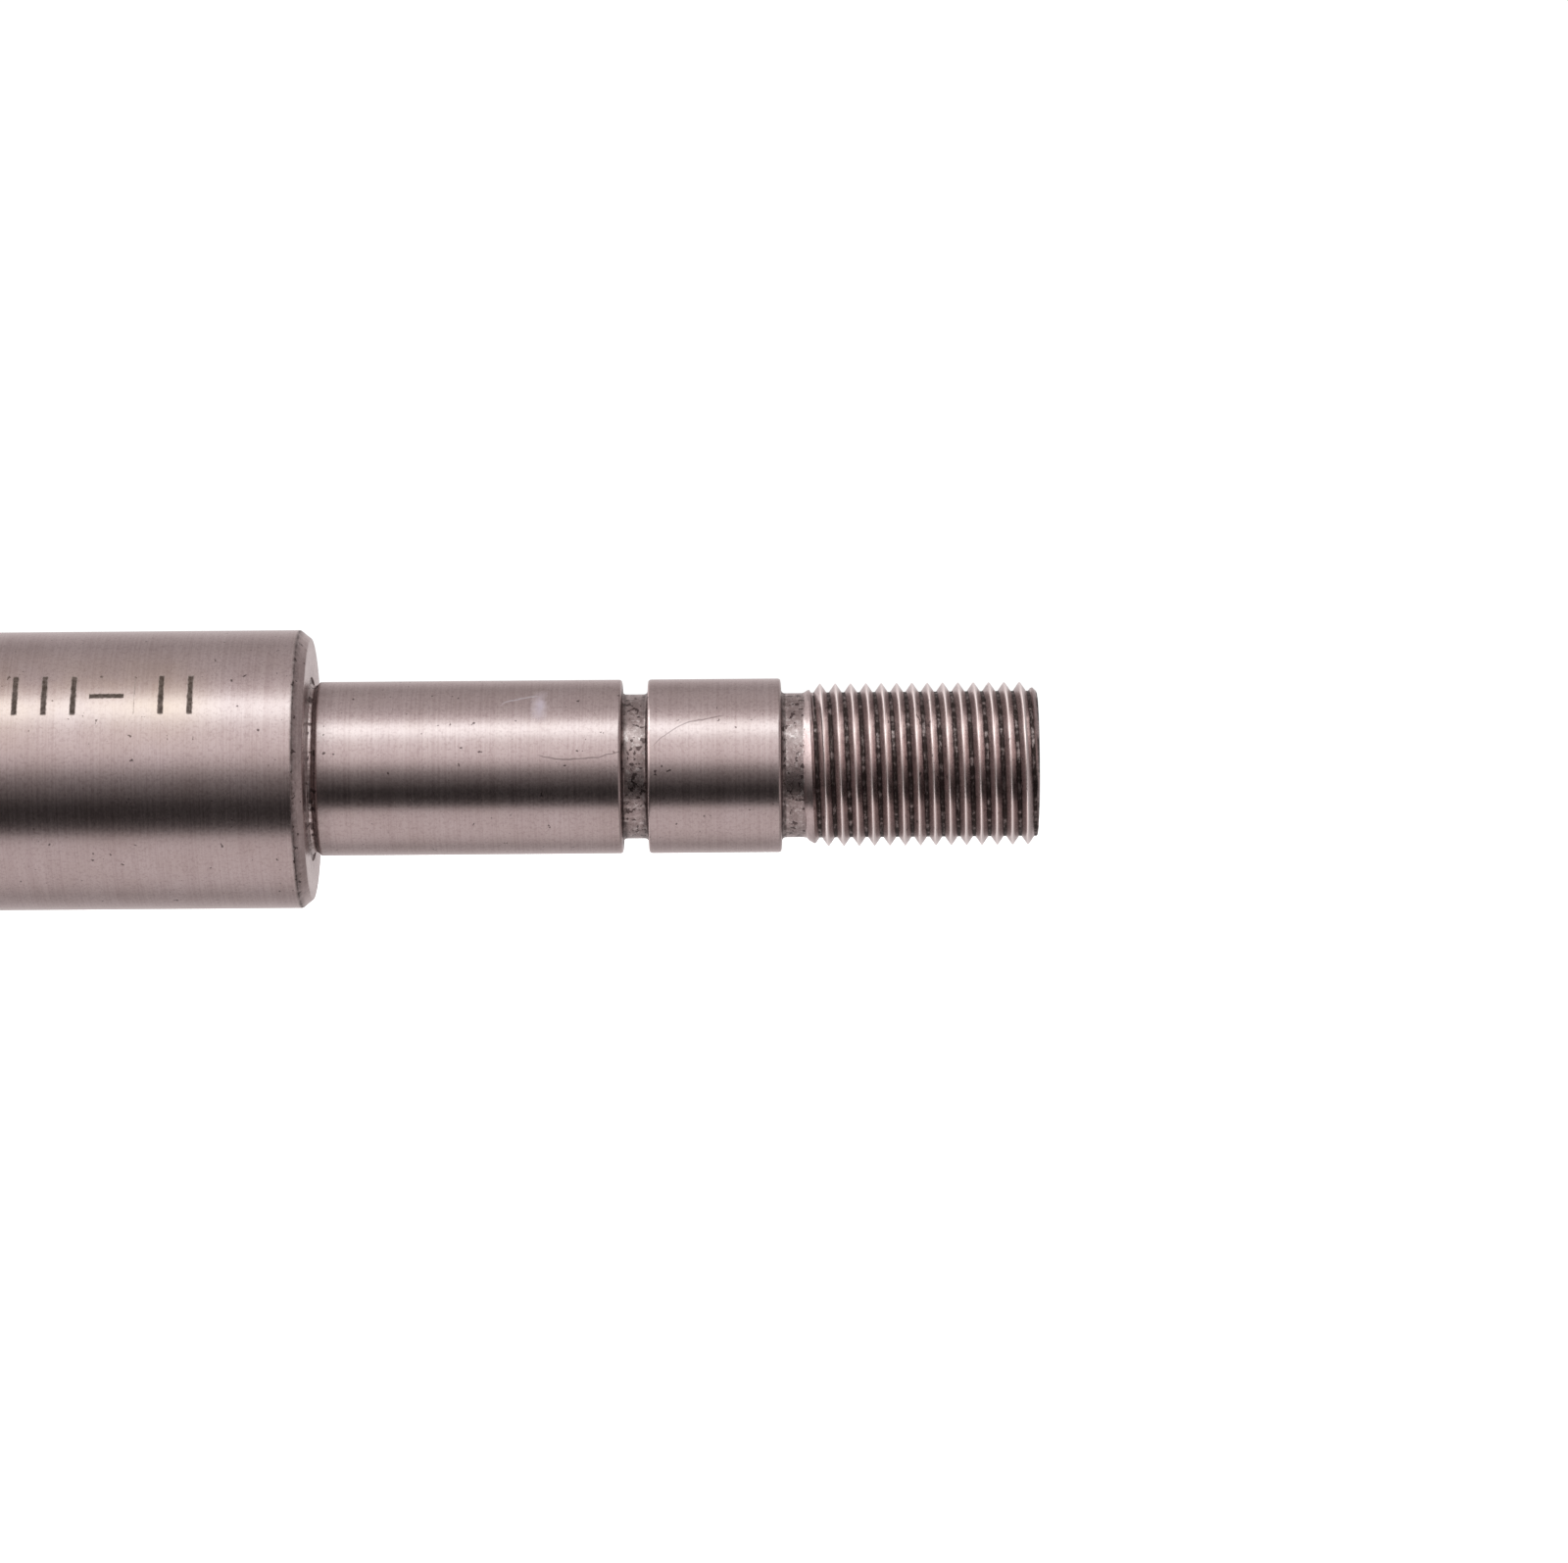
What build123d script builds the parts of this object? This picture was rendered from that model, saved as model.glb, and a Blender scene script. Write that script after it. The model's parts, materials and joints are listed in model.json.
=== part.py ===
from build123d import *
import os
from math import hypot, pi

os.makedirs("parts", exist_ok=True)

# A ball screw: a ground shaft with a right-hand ball groove, and a flanged ball nut that runs on it.
# The axis of the screw is X, and the origin is the centre of the bearing shoulder at its fixed end.
# Sizes are in millimetres.

# ---- Screw: ball groove ----
land_r = 13.6
lead = 6.0
ball_r = 3.969 / 2
ball_circle_r = 14.0
groove_r = 2.17
groove_right_x = -40.0
land_left_x = -240.0
# The ball track crosses the shaft's top here, and again every lead on from here.
track_x = land_left_x - 0.75 * lead

# ---- Screw: fixed end, from the shoulder to the right ----
shoulder_chamfer_x = 1.0
shoulder_chamfer_r = 0.8
undercut_r = 8.2
undercut_end_x = 0.8
undercut_face_r = 9.0
undercut_face_depth = 0.2
seat_r = 8.5
seat_end_x = 30.3
ring_groove_r = 7.05
ring_groove_end_x = 32.9
second_seat_end_x = 45.85
relief_end_x = 49.5
locknut_r = 7.97
locknut_pitch = 1.5
locknut_depth = 0.87
locknut_lead_in = 2.5
locknut_cut_past = 0.12
locknut_cut_root = 0.26
locknut_cut_mouth = 1.42
screw_right_x = 70.85
end_chamfer = 0.95
centre_hole_r = 2.0
centre_hole_depth = 3.46
relief_slope = 1.5
edge_break = 0.2
groove_wall_slope = 0.25

# ---- Screw: driven end, from the ball groove to the left ----
float_seat_r = 10.0
float_seat_length = 18.0
float_groove_r = 9.5
float_groove_x = -253.0
float_groove_width = 1.3
stub_r = 7.5
stub_length = 32.0
drive_chamfer = 1.0

# ---- Nut: body ----
nut_rear_x = -183.0
nut_length = 76.0
flange_thickness = 14.0
barrel_r = 27.0
pilot_r = 27.5
pilot_length = 9.0
flange_r = 42.5
nut_bore_r = 14.4
nut_edge = 0.8
bolt_circle_r = 34.5
bolt_hole_r = 3.3
bolt_head_r = 5.5
bolt_head_depth = 6.5
bolt_count = 6
flat_z = 20.3
flat_length = 52.5
recess_r = 17.2
recess_depth = 7.0
ring_slot_r = 18.6
ring_slot_start = 1.0
ring_slot_width = 1.4
port_x = -116.0
port_thread_r = 3.0
port_depth_z = 36.0
port_drill_r = 1.5
port_face_r = 5.2
port_face_z = 41.9
cut_past = 1.0

# ---- Nut: ball circuits ----
circuit_turns = 2.5
circuit_starts = {"rear": track_x + 12.25 * lead, "front": track_x + 15.25 * lead}
ball_spacing = 4.19
tube_inner_r = 2.125
tube_outer_r = 2.525
tube_pocket_r = 2.65
tube_height_z = 22.95
tube_foot_z = 12.0
tube_foot_gap = 0.1
passage_r = 2.35
passage_overlap = 0.4
tube_bend_r = 6.5

# ---- Nut: tube clamp ----
clamp_thickness = 1.1
clamp_half_width = 4.0
clamp_top_z = 26.6
clamp_reach = 6.3
clamp_foot = 7.0
clamp_screw_offset = 10.9
clamp_screw_r = 1.5
clamp_screw_depth = 5.0
clamp_corner_r = 1.5
clamp_hole_r = 1.65
clamp_tapping_r = 1.52
clamp_screw_head_r = 2.75
clamp_screw_head_height = 2.2
clamp_screw_head_edge = 0.3
clamp_screw_hex = 2.5
clamp_screw_hex_depth = 1.3
clamp_screw_end_gap = 0.5
lock_washer_r = 2.6
lock_washer_inner_r = 1.6
lock_washer_thickness = 0.7
lock_washer_split = 0.5
lock_washer_split_angle = 20

# ---- Nut: wipers and snap rings ----
wiper_outer_r = 17.0
wiper_bore_r = 13.95
wiper_start = 2.6
wiper_end = 6.8
wiper_tooth_r = 1.8
snap_outer_r = 18.3
snap_inner_r = 16.2
snap_thickness = 1.2
snap_gap = 18.0
snap_lug_r = 1.7
snap_lug_y = 6.8
snap_lug_z = 15.2
snap_lug_hole_r = 0.8

# ---- Nut: grease nipple and port plug, with the nipple's heights measured up from its hexagon's seat ----
nipple_stem_r = 2.9
nipple_stem = 5.0
nipple_stem_edge = 0.4
nipple_hex = 7.0
nipple_hex_height = 3.0
nipple_neck_r = 2.2
nipple_neck_low = 4.2
nipple_neck_high = 5.4
nipple_head_r = 3.2
nipple_head_low = 6.8
nipple_head_high = 7.6
nipple_tip_r = 1.7
nipple_tip = 9.6
nipple_way_r = 0.65
nipple_bore_r = 1.3
nipple_bore_top = 8.35
nipple_mouth_r = 0.7
nipple_mouth = 9.2
check_ball_r = 1.1
check_ball_z = 8.05
spring_wire_r = 0.16
spring_r = 0.85
spring_low_z = -4.0
spring_turns = 9
spring_seat_gap = 0.04
spring_ball_nest = 0.1
plug_recess = 0.4
plug_hex = 3.0
plug_hex_depth = 2.5

tangent_rise = lead / (2 * pi * ball_circle_r)
nut_front_x = nut_rear_x + nut_length
flange_rear_x = nut_front_x - flange_thickness
screw_left_x = land_left_x - float_seat_length - stub_length


def across(x):
    """The plane square to the screw's axis at x, with its own x along +Y and its normal along +X."""
    return Plane(origin=(x, 0, 0), x_dir=(0, 1, 0), z_dir=(1, 0, 0))


def square_to(line):
    """The plane square to a line at its start, with its own x radial to the screw's axis."""
    start = line @ 0
    return Plane(origin=start, x_dir=(0, start.Y, start.Z), z_dir=line % 0)


def tube_corners(start_x, foot_z):
    """The corners of a return tube's centre line, from its leg at the circuit's end to that at its start."""
    end_x = start_x + circuit_turns * lead
    return [
        (end_x + foot_z * tangent_rise, ball_circle_r, foot_z),
        (end_x + tube_height_z * tangent_rise, ball_circle_r, tube_height_z),
        (start_x - tube_height_z * tangent_rise, -ball_circle_r, tube_height_z),
        (start_x - foot_z * tangent_rise, -ball_circle_r, foot_z),
    ]


# ---- Screw shaft ----
with BuildPart() as screw_shaft:
    with BuildSketch(Plane.XZ):
        with BuildLine():
            Polyline(
                (screw_left_x + centre_hole_depth, 0),
                (screw_left_x, centre_hole_r),
                (screw_left_x, stub_r - drive_chamfer),
                (screw_left_x + drive_chamfer, stub_r),
                (screw_left_x + stub_length, stub_r),
                (screw_left_x + stub_length, float_seat_r - drive_chamfer / 2),
                (screw_left_x + stub_length + drive_chamfer / 2, float_seat_r),
                (float_groove_x - float_groove_width, float_seat_r),
                (float_groove_x - float_groove_width, float_groove_r),
                (float_groove_x, float_groove_r),
                (float_groove_x, float_seat_r),
                (land_left_x, float_seat_r),
                (land_left_x, land_r - drive_chamfer),
                (land_left_x + drive_chamfer, land_r),
                (-shoulder_chamfer_x, land_r),
                (0, land_r - shoulder_chamfer_r),
                (0, undercut_face_r),
                (-undercut_face_depth, undercut_face_r - undercut_face_depth),
                (-undercut_face_depth, undercut_r),
                (undercut_end_x, undercut_r),
                (undercut_end_x + edge_break, seat_r),
                (seat_end_x, seat_r),
                (seat_end_x + groove_wall_slope, ring_groove_r),
                (ring_groove_end_x - groove_wall_slope, ring_groove_r),
                (ring_groove_end_x, seat_r),
                (second_seat_end_x, seat_r),
                (second_seat_end_x + groove_wall_slope, ring_groove_r),
                (relief_end_x - relief_slope, ring_groove_r),
                (relief_end_x, locknut_r),
                (screw_right_x - end_chamfer, locknut_r),
                (screw_right_x, locknut_r - end_chamfer),
                (screw_right_x, centre_hole_r),
                (screw_right_x - centre_hole_depth, 0),
                close=True,
            )
        make_face()
    revolve(axis=Axis.X)
    # The locknut thread starts in the relief and runs out of the end face.
    root_r = locknut_r - locknut_depth
    thread_x = relief_end_x - locknut_lead_in
    with BuildLine() as thread_path:
        Helix(
            locknut_pitch,
            screw_right_x - thread_x + locknut_pitch,
            root_r,
            center=(thread_x, 0, 0),
            direction=(1, 0, 0),
        )
    with BuildSketch(square_to(thread_path.line)):
        Polygon(
            (0, -locknut_cut_root / 2),
            (locknut_depth + locknut_cut_past, -locknut_cut_mouth / 2),
            (locknut_depth + locknut_cut_past, locknut_cut_mouth / 2),
            (0, locknut_cut_root / 2),
            align=None,
        )
    sweep(path=thread_path.line, is_frenet=True, mode=Mode.SUBTRACT)
    # The ball groove leaves through the driven end, and ends in the plain land at the other.
    with BuildLine() as ball_path:
        Helix(lead, groove_right_x - track_x, ball_circle_r, center=(track_x, 0, 0), direction=(1, 0, 0))
    with BuildSketch(square_to(ball_path.line)):
        Circle(groove_r)
    sweep(path=ball_path.line, is_frenet=True, mode=Mode.SUBTRACT)
    with Locations(ball_path.line @ 1):
        Sphere(groove_r, mode=Mode.SUBTRACT)
screw_shaft.part.label = "screw_shaft"
export_step(screw_shaft.part, "parts/screw_shaft.step")

# ---- Nut body ----
with BuildPart() as nut_body:
    # A plain sleeve with the ball groove in its bore, in mesh with the shaft's.
    with BuildSketch(across(nut_rear_x)):
        Circle(barrel_r)
        Circle(nut_bore_r, mode=Mode.SUBTRACT)
    extrude(amount=nut_length)
    nut_track_x = track_x + 10 * lead
    with BuildLine() as nut_path:
        Helix(
            lead,
            nut_front_x - nut_track_x,
            ball_circle_r,
            center=(nut_track_x, 0, 0),
            direction=(1, 0, 0),
        )
    with BuildSketch(square_to(nut_path.line)):
        Circle(groove_r)
    sweep(path=nut_path.line, is_frenet=True, mode=Mode.SUBTRACT)
    # The flange and the pilot behind it, with their edges broken.
    with BuildSketch(Plane.XZ):
        with BuildLine():
            Polyline(
                (flange_rear_x - pilot_length, barrel_r - cut_past),
                (flange_rear_x - pilot_length, barrel_r),
                (flange_rear_x - pilot_length + pilot_r - barrel_r, pilot_r),
                (flange_rear_x, pilot_r),
                (flange_rear_x, flange_r - nut_edge),
                (flange_rear_x + nut_edge, flange_r),
                (nut_front_x - nut_edge, flange_r),
                (nut_front_x, flange_r - nut_edge),
                (nut_front_x, barrel_r - cut_past),
                close=True,
            )
        make_face()
    revolve(axis=Axis.X)
    # A recess for a wiper in each end, with the slot of its snap ring, and the barrel's broken edge.
    with BuildSketch(Plane.XZ):
        for end_x, inward in ((nut_rear_x, 1), (nut_front_x, -1)):
            slot_near = end_x + inward * ring_slot_start
            slot_far = slot_near + inward * ring_slot_width
            with BuildLine():
                Polyline(
                    (end_x - inward * cut_past, cut_past),
                    (end_x - inward * cut_past, recess_r),
                    (slot_near, recess_r),
                    (slot_near, ring_slot_r),
                    (slot_far, ring_slot_r),
                    (slot_far, recess_r),
                    (end_x + inward * recess_depth, recess_r),
                    (end_x + inward * recess_depth, cut_past),
                    close=True,
                )
            make_face()
        with BuildLine():
            Polyline(
                (nut_rear_x - cut_past, barrel_r - nut_edge - cut_past),
                (nut_rear_x + nut_edge + cut_past, barrel_r + cut_past),
                (nut_rear_x - cut_past, barrel_r + cut_past),
                close=True,
            )
        make_face()
    revolve(axis=Axis.X, mode=Mode.SUBTRACT)
    # The bolt holes, with their counterbores in the front face.
    with Locations(across(nut_front_x)):
        with PolarLocations(bolt_circle_r, bolt_count):
            CounterBoreHole(bolt_hole_r, bolt_head_r, bolt_head_depth, depth=flange_thickness)
    # The grease port on the flange's rim, and the plugged spare port opposite it.
    for side in (1, -1):
        outward = Plane(origin=(port_x, 0, 0), x_dir=(1, 0, 0), z_dir=(0, 0, side))
        with BuildSketch(outward.offset(port_face_z)):
            Circle(port_face_r)
        extrude(amount=port_face_r, mode=Mode.SUBTRACT)
        with BuildSketch(outward.offset(port_depth_z)):
            Circle(port_thread_r)
        extrude(amount=port_face_z - port_depth_z, mode=Mode.SUBTRACT)
        with BuildSketch(outward):
            Circle(port_drill_r)
        extrude(amount=port_depth_z, mode=Mode.SUBTRACT)
    # The flat that the return tubes and their clamp lie on.
    with BuildSketch(Plane.XY.offset(flat_z)):
        with Locations((nut_rear_x, 0)):
            Rectangle(flat_length, 2 * barrel_r, align=(Align.MIN, Align.CENTER))
    extrude(amount=barrel_r, mode=Mode.SUBTRACT)
    # Each circuit's tube pocket, and the two passages that lead from it into the groove.
    for start_x in circuit_starts.values():
        with BuildLine() as pocket_path:
            FilletPolyline(*tube_corners(start_x, tube_foot_z), radius=tube_bend_r)
        pocket_route = pocket_path.wire()
        with BuildSketch(Plane(origin=pocket_route @ 0, z_dir=pocket_route % 0)):
            Circle(tube_pocket_r)
        sweep(path=pocket_route, mode=Mode.SUBTRACT)
        corners = tube_corners(start_x, 0)
        for foot, corner in ((corners[0], corners[1]), (corners[3], corners[2])):
            down = Vector(*foot) - Vector(*corner)
            with BuildSketch(Plane(origin=foot, z_dir=down).offset(-tube_foot_z - passage_overlap)):
                Circle(passage_r)
            extrude(amount=tube_foot_z + passage_overlap, mode=Mode.SUBTRACT)
    # The clamp screws' holes.
    for side, start_x in ((-1, circuit_starts["rear"]), (1, circuit_starts["front"])):
        screw_x = start_x + circuit_turns * lead / 2 + side * clamp_screw_offset
        with BuildSketch(Plane.XY.offset(flat_z - clamp_screw_depth)):
            with Locations((screw_x, 0)):
                Circle(clamp_tapping_r)
        extrude(amount=clamp_screw_depth, mode=Mode.SUBTRACT)
nut_body.part.label = "nut_body"
export_step(nut_body.part, "parts/nut_body.step")

# ---- Balls and return tubes, one set for each circuit ----
turn_length = hypot(lead, 2 * pi * ball_circle_r)
for place, start_x in circuit_starts.items():
    # The loaded balls lie along the track from a quarter turn past its top crossing.
    with BuildLine() as loaded_path:
        Helix(
            lead,
            (circuit_turns + 0.25) * lead,
            ball_circle_r,
            center=(start_x - 0.25 * lead, 0, 0),
            direction=(1, 0, 0),
        )
    loaded_count = int(circuit_turns * turn_length / ball_spacing)
    loaded_step = circuit_turns * turn_length / loaded_count
    loaded_track = loaded_path.edge()
    loaded_points = [
        loaded_track.position_at(
            0.25 * turn_length + (i + 0.5) * loaded_step, position_mode=PositionMode.LENGTH
        )
        for i in range(loaded_count)
    ]
    with BuildPart() as loaded_balls:
        with Locations(*loaded_points):
            Sphere(ball_r)
    loaded_balls.part.label = f"loaded_balls_{place}"
    export_step(loaded_balls.part, f"parts/loaded_balls_{place}.step")

    # The returning balls follow the tube from one end of the track to the other.
    with BuildLine() as return_path:
        FilletPolyline(*tube_corners(start_x, 0), radius=tube_bend_r)
    return_route = return_path.wire()
    return_count = int(return_route.length / ball_spacing)
    return_step = return_route.length / return_count
    return_points = [
        return_route.position_at((i + 0.5) * return_step, position_mode=PositionMode.LENGTH)
        for i in range(return_count)
    ]
    with BuildPart() as return_balls:
        with Locations(*return_points):
            Sphere(ball_r)
    return_balls.part.label = f"return_balls_{place}"
    export_step(return_balls.part, f"parts/return_balls_{place}.step")

    with BuildLine() as tube_path:
        FilletPolyline(*tube_corners(start_x, tube_foot_z + tube_foot_gap), radius=tube_bend_r)
    tube_route = tube_path.wire()
    with BuildPart() as return_tube:
        with BuildSketch(Plane(origin=tube_route @ 0, z_dir=tube_route % 0)):
            Circle(tube_outer_r)
            Circle(tube_inner_r, mode=Mode.SUBTRACT)
        sweep(path=tube_route)
    return_tube.part.label = f"return_tube_{place}"
    export_step(return_tube.part, f"parts/return_tube_{place}.step")

# ---- Tube clamp: a strap over both tubes, with a foot at each end on the nut's flat ----
first_middle = circuit_starts["rear"] + circuit_turns * lead / 2
last_middle = circuit_starts["front"] + circuit_turns * lead / 2
clamp_screw_points = [(first_middle - clamp_screw_offset, 0), (last_middle + clamp_screw_offset, 0)]
clamp_left = first_middle - clamp_reach
clamp_right = last_middle + clamp_reach
clamp_foot_z = flat_z + clamp_thickness
with BuildPart() as tube_clamp:
    with BuildSketch(Plane.XZ):
        with BuildLine():
            Polyline(
                (clamp_left - clamp_thickness - clamp_foot, flat_z),
                (clamp_left, flat_z),
                (clamp_left, clamp_top_z - clamp_thickness),
                (clamp_right, clamp_top_z - clamp_thickness),
                (clamp_right, flat_z),
                (clamp_right + clamp_thickness + clamp_foot, flat_z),
                (clamp_right + clamp_thickness + clamp_foot, clamp_foot_z),
                (clamp_right + clamp_thickness, clamp_foot_z),
                (clamp_right + clamp_thickness, clamp_top_z),
                (clamp_left - clamp_thickness, clamp_top_z),
                (clamp_left - clamp_thickness, clamp_foot_z),
                (clamp_left - clamp_thickness - clamp_foot, clamp_foot_z),
                close=True,
            )
        make_face()
    extrude(amount=clamp_half_width, both=True)
    with BuildSketch(Plane.XY.offset(flat_z)):
        with Locations(*clamp_screw_points):
            Circle(clamp_hole_r)
    extrude(amount=clamp_thickness, mode=Mode.SUBTRACT)
    fillet(tube_clamp.edges().filter_by(Axis.Z).group_by(SortBy.LENGTH)[0], clamp_corner_r)
tube_clamp.part.label = "tube_clamp"
export_step(tube_clamp.part, "parts/tube_clamp.step")

# ---- Clamp screws and their lock washers ----
with BuildPart() as clamp_lock_washers:
    with BuildSketch(Plane.XY.offset(clamp_foot_z)):
        with Locations(*clamp_screw_points):
            Circle(lock_washer_r)
            Circle(lock_washer_inner_r, mode=Mode.SUBTRACT)
            with Locations(((lock_washer_inner_r + lock_washer_r) / 2, 0)):
                Rectangle(
                    lock_washer_r,
                    lock_washer_split,
                    rotation=lock_washer_split_angle,
                    mode=Mode.SUBTRACT,
                )
    extrude(amount=lock_washer_thickness)
clamp_lock_washers.part.label = "clamp_lock_washers"
export_step(clamp_lock_washers.part, "parts/clamp_lock_washers.step")

screw_seat_z = clamp_foot_z + lock_washer_thickness
with BuildPart() as clamp_screws:
    with BuildSketch(Plane.XY.offset(screw_seat_z)):
        with Locations(*clamp_screw_points):
            Circle(clamp_screw_head_r)
    extrude(amount=clamp_screw_head_height)
    chamfer(clamp_screws.faces().sort_by(Axis.Z)[-2:].edges(), clamp_screw_head_edge)
    with BuildSketch(Plane.XY.offset(screw_seat_z + clamp_screw_head_height)):
        with Locations(*clamp_screw_points):
            RegularPolygon(clamp_screw_hex / 2, 6, major_radius=False)
    extrude(amount=-clamp_screw_hex_depth, mode=Mode.SUBTRACT)
    with BuildSketch(Plane.XY.offset(screw_seat_z)):
        with Locations(*clamp_screw_points):
            Circle(clamp_screw_r)
    extrude(amount=-(screw_seat_z - flat_z + clamp_screw_depth - clamp_screw_end_gap))
clamp_screws.part.label = "clamp_screws"
export_step(clamp_screws.part, "parts/clamp_screws.step")

# ---- Wipers and snap rings, one of each in either end of the nut ----
wiper_spans = {
    "rear": (nut_rear_x + wiper_start, nut_rear_x + wiper_end),
    "front": (nut_front_x - wiper_end, nut_front_x - wiper_start),
}
for place, (low_x, high_x) in wiper_spans.items():
    turns_before = int((low_x - track_x) / lead)
    tooth_x = track_x + (turns_before - 1) * lead
    with BuildPart() as wiper:
        # A tooth on the bore follows the ball groove and sweeps it clean.
        with BuildLine() as tooth_path:
            Helix(lead, 4 * lead, ball_circle_r, center=(tooth_x, 0, 0), direction=(1, 0, 0))
        with BuildSketch(square_to(tooth_path.line)):
            Circle(wiper_tooth_r)
        sweep(path=tooth_path.line, is_frenet=True)
        with BuildSketch(across(low_x)):
            Circle(wiper_outer_r - cut_past)
        extrude(amount=high_x - low_x, mode=Mode.INTERSECT)
        with BuildSketch(across(low_x)):
            Circle(wiper_outer_r)
            Circle(wiper_bore_r, mode=Mode.SUBTRACT)
        extrude(amount=high_x - low_x)
    wiper.part.label = f"wiper_{place}"
    export_step(wiper.part, f"parts/wiper_{place}.step")

snap_slack = (ring_slot_width - snap_thickness) / 2
snap_starts = {
    "rear": nut_rear_x + ring_slot_start + snap_slack,
    "front": nut_front_x - ring_slot_start - snap_slack - snap_thickness,
}
for place, low_x in snap_starts.items():
    with BuildPart() as snap_ring:
        with BuildSketch(across(low_x)):
            Circle(snap_outer_r)
            Circle(snap_inner_r, mode=Mode.SUBTRACT)
            with BuildLine():
                Polyline((0, 0), (-snap_gap / 2, -barrel_r), (snap_gap / 2, -barrel_r), close=True)
            make_face(mode=Mode.SUBTRACT)
            lugs = [(-snap_lug_y, -snap_lug_z), (snap_lug_y, -snap_lug_z)]
            with Locations(*lugs):
                Circle(snap_lug_r)
            with Locations(*lugs):
                Circle(snap_lug_hole_r, mode=Mode.SUBTRACT)
        extrude(amount=snap_thickness)
    snap_ring.part.label = f"snap_ring_{place}"
    export_step(snap_ring.part, f"parts/snap_ring_{place}.step")

# ---- Grease nipple, with its check ball and spring ----
nipple_axis = Axis((port_x, 0, port_face_z), (0, 0, 1))
nipple_section = Plane(origin=(port_x, 0, port_face_z), x_dir=(1, 0, 0), z_dir=(0, -1, 0))
with BuildPart() as grease_nipple:
    with BuildSketch(Plane(origin=(port_x, 0, port_face_z))):
        RegularPolygon(nipple_hex / 2, 6, major_radius=False)
    extrude(amount=nipple_hex_height)
    with BuildSketch(nipple_section):
        with BuildLine():
            Polyline(
                (0, -nipple_stem),
                (nipple_stem_r - nipple_stem_edge, -nipple_stem),
                (nipple_stem_r, -nipple_stem + nipple_stem_edge),
                (nipple_stem_r, nipple_hex_height),
                (nipple_neck_r, nipple_neck_low),
                (nipple_neck_r, nipple_neck_high),
                (nipple_head_r, nipple_head_low),
                (nipple_head_r, nipple_head_high),
                (nipple_tip_r, nipple_tip),
                (0, nipple_tip),
                close=True,
            )
        make_face()
    revolve(axis=nipple_axis)
    # The grease way: a narrow hole below, the spring's bore, and a cone that the ball seats in.
    spring_shelf_z = spring_low_z - spring_wire_r - spring_seat_gap
    with BuildSketch(nipple_section):
        with BuildLine():
            Polyline(
                (0, -nipple_stem),
                (nipple_way_r, -nipple_stem),
                (nipple_way_r, spring_shelf_z),
                (nipple_bore_r, spring_shelf_z),
                (nipple_bore_r, nipple_bore_top),
                (nipple_mouth_r, nipple_mouth),
                (nipple_mouth_r, nipple_tip),
                (0, nipple_tip),
                close=True,
            )
        make_face()
    revolve(axis=nipple_axis, mode=Mode.SUBTRACT)
grease_nipple.part.label = "grease_nipple"
export_step(grease_nipple.part, "parts/grease_nipple.step")

with BuildPart() as nipple_ball:
    with Locations((port_x, 0, port_face_z + check_ball_z)):
        Sphere(check_ball_r)
nipple_ball.part.label = "nipple_ball"
export_step(nipple_ball.part, "parts/nipple_ball.step")

spring_high_z = check_ball_z - check_ball_r - spring_wire_r + spring_ball_nest
with BuildPart() as nipple_spring:
    with BuildLine() as coil:
        Helix(
            (spring_high_z - spring_low_z) / spring_turns,
            spring_high_z - spring_low_z,
            spring_r,
            center=(port_x, 0, port_face_z + spring_low_z),
        )
    with BuildSketch(Plane(origin=coil.line @ 0, z_dir=coil.line % 0)):
        Circle(spring_wire_r)
    sweep(path=coil.line, is_frenet=True)
nipple_spring.part.label = "nipple_spring"
export_step(nipple_spring.part, "parts/nipple_spring.step")

# ---- Plug in the spare grease port, just below the rim ----
plug_low = Plane(origin=(port_x, 0, -port_face_z + plug_recess))
with BuildPart() as port_plug:
    with BuildSketch(plug_low):
        Circle(nipple_stem_r)
    extrude(amount=nipple_stem)
    chamfer(port_plug.faces().sort_by(Axis.Z)[0].edges(), nipple_stem_edge)
    with BuildSketch(plug_low):
        RegularPolygon(plug_hex / 2, 6, major_radius=False)
    extrude(amount=plug_hex_depth, mode=Mode.SUBTRACT)
port_plug.part.label = "port_plug"
export_step(port_plug.part, "parts/port_plug.step")
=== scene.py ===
import json
from math import acos, cos, floor, hypot, pi, radians, sin, sqrt, tan

import bpy
import bmesh
from mathutils import Matrix, Vector


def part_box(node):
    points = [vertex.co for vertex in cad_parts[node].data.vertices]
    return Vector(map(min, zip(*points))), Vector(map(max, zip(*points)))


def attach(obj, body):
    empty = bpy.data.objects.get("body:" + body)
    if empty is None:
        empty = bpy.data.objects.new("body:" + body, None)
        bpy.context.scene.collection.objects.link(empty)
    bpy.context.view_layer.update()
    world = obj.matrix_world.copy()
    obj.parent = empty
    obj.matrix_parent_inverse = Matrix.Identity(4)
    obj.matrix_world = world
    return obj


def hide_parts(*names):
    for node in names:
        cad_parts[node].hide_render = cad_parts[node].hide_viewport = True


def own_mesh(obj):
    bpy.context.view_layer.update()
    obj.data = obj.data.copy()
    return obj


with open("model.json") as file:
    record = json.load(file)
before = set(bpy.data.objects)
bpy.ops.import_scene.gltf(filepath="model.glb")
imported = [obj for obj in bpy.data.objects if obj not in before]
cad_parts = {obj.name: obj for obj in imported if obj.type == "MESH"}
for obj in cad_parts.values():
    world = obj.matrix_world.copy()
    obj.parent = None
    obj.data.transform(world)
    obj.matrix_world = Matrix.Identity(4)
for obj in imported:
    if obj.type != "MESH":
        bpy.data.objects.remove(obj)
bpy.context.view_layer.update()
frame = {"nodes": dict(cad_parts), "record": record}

MM = 0.001
# points round the screw, the nut, a drill, a round bar and the spring's wire
SCREW_AROUND, NUT_AROUND, DRILL_AROUND, BAR_AROUND, WIRE_AROUND = 108, 192, 64, 40, 12
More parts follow.
